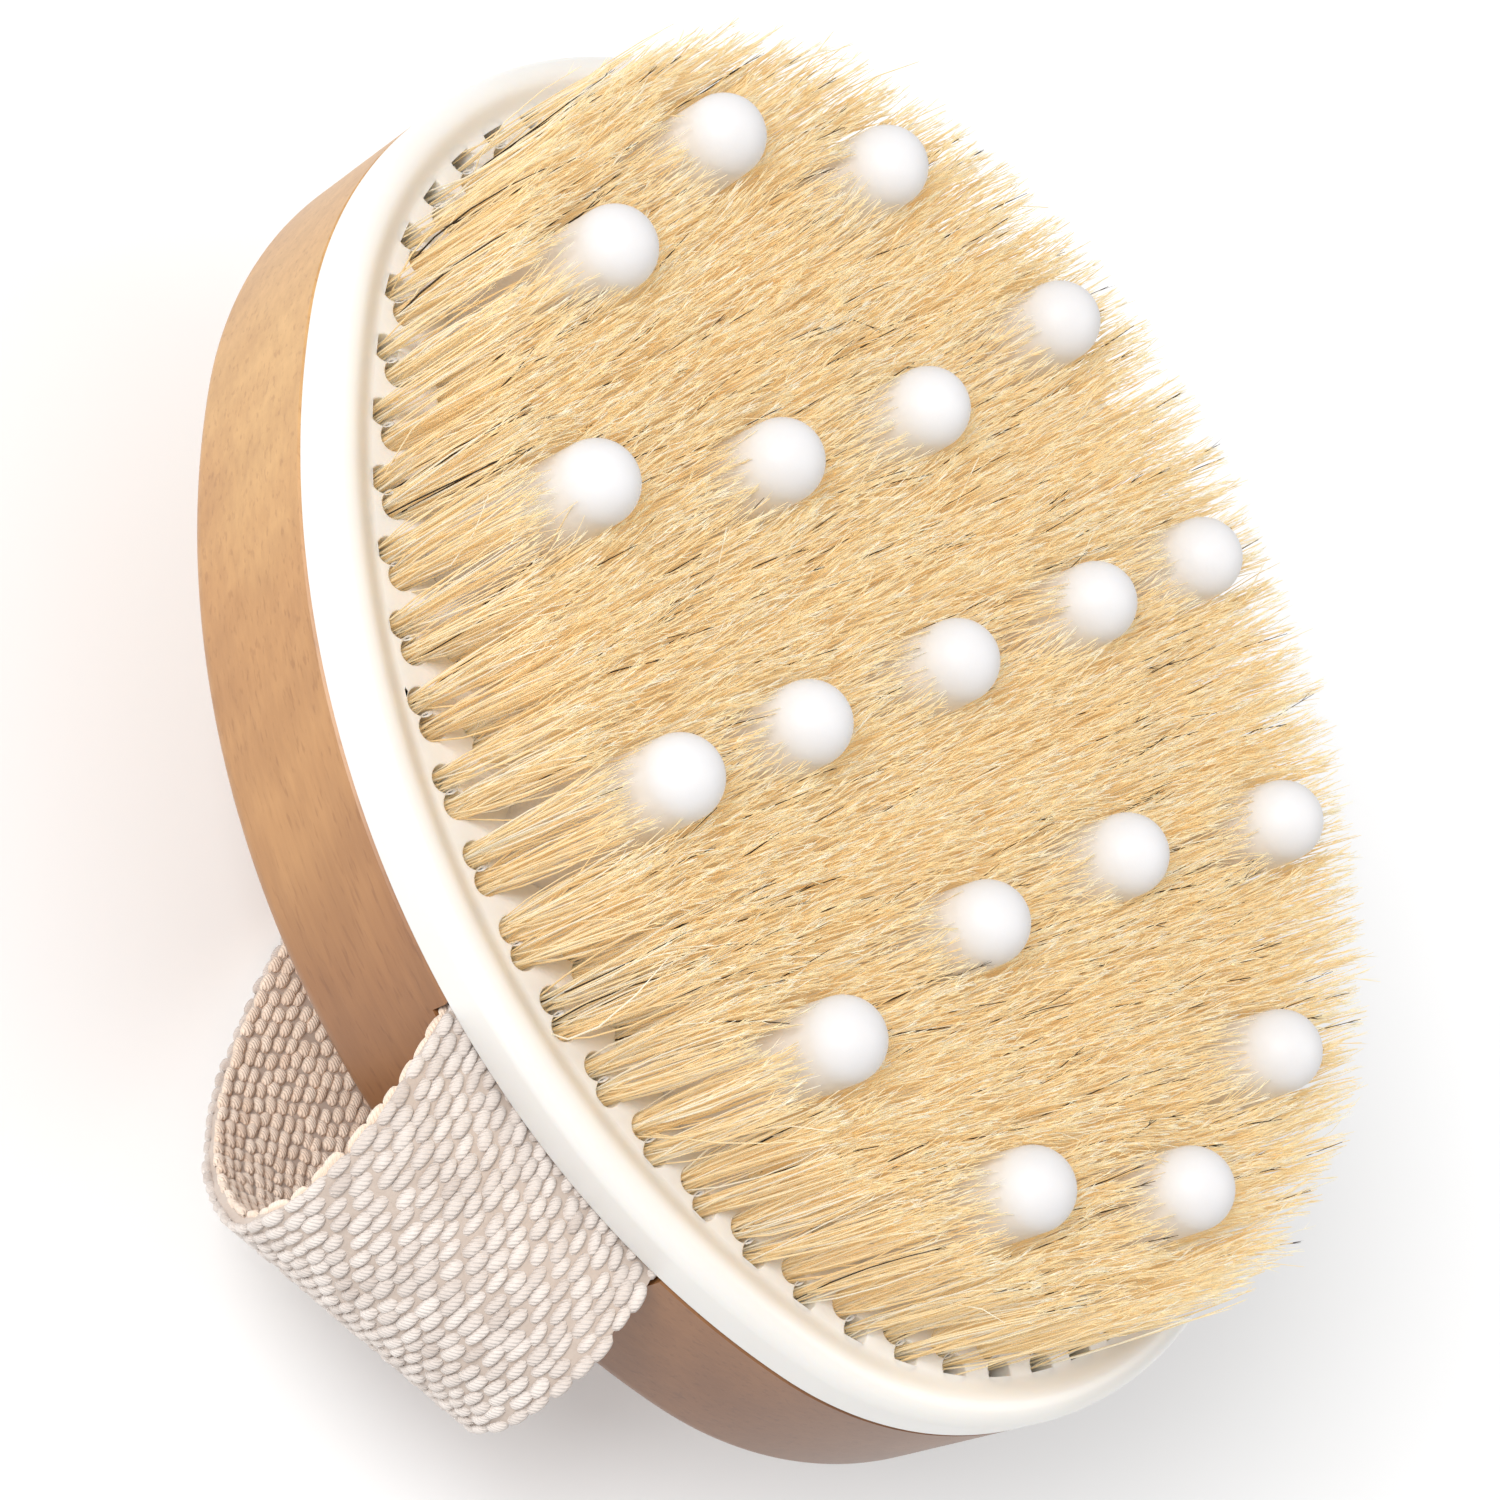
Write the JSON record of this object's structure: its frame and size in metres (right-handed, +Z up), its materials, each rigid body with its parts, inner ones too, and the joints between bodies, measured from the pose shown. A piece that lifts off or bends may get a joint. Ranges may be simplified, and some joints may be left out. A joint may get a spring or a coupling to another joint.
{
  "type": "body dry brush",
  "caption": "Oval wooden body brush for dry brushing and massage: tufts of natural bristle between soft round nodules, with a slanting webbing hand strap across the back.",
  "frame": {"origin": "middle of the strap crown's resting face, on the table the brush stands on", "axes": "+Z up out of the bristles, +X along the oval head's long axis, +Y along its short axis"},
  "size_m": [0.13, 0.1284, 0.0816],
  "materials": {
    "wood": "satin varnish over fine straight grain",
    "plate": "glossy moulded, slightly translucent",
    "nodule": "matte soft",
    "bristle": "natural boar hair with split tips",
    "webbing": "coarse woven cotton webbing",
    "anchor_wire": "bright drawn wire",
    "steel_wire": "bright drawn wire"
  },
  "bodies": {
    "root": {"wood_back": "wood", "bristle_plate": "plate", "hand_strap": "webbing", "strap_staples": "steel_wire", "nodule_centre": "nodule", "nodule_inner_1": "nodule", "nodule_inner_2": "nodule", "nodule_inner_3": "nodule", "nodule_inner_4": "nodule", "nodule_inner_5": "nodule", "nodule_inner_6": "nodule", "nodule_outer_1": "nodule", "nodule_outer_2": "nodule", "nodule_outer_3": "nodule", "nodule_outer_4": "nodule", "nodule_outer_5": "nodule", "nodule_outer_6": "nodule", "nodule_outer_7": "nodule", "nodule_outer_8": "nodule", "nodule_outer_9": "nodule", "nodule_outer_10": "nodule", "nodule_outer_11": "nodule", "nodule_outer_12": "nodule", "tufts_ring_1": "bristle", "tufts_ring_2": "bristle", "tufts_ring_3": "bristle", "tufts_ring_4": "bristle", "tufts_ring_5": "bristle", "tufts_ring_6": "bristle", "tufts_ring_7": "bristle", "tufts_ring_8": "bristle", "tufts_ring_9": "bristle", "anchors_ring_1": "anchor_wire", "anchors_ring_2": "anchor_wire", "anchors_ring_3": "anchor_wire", "anchors_ring_4": "anchor_wire", "anchors_ring_5": "anchor_wire", "anchors_ring_6": "anchor_wire", "anchors_ring_7": "anchor_wire", "anchors_ring_8": "anchor_wire", "anchors_ring_9": "anchor_wire"}
  },
  "joints": []
}
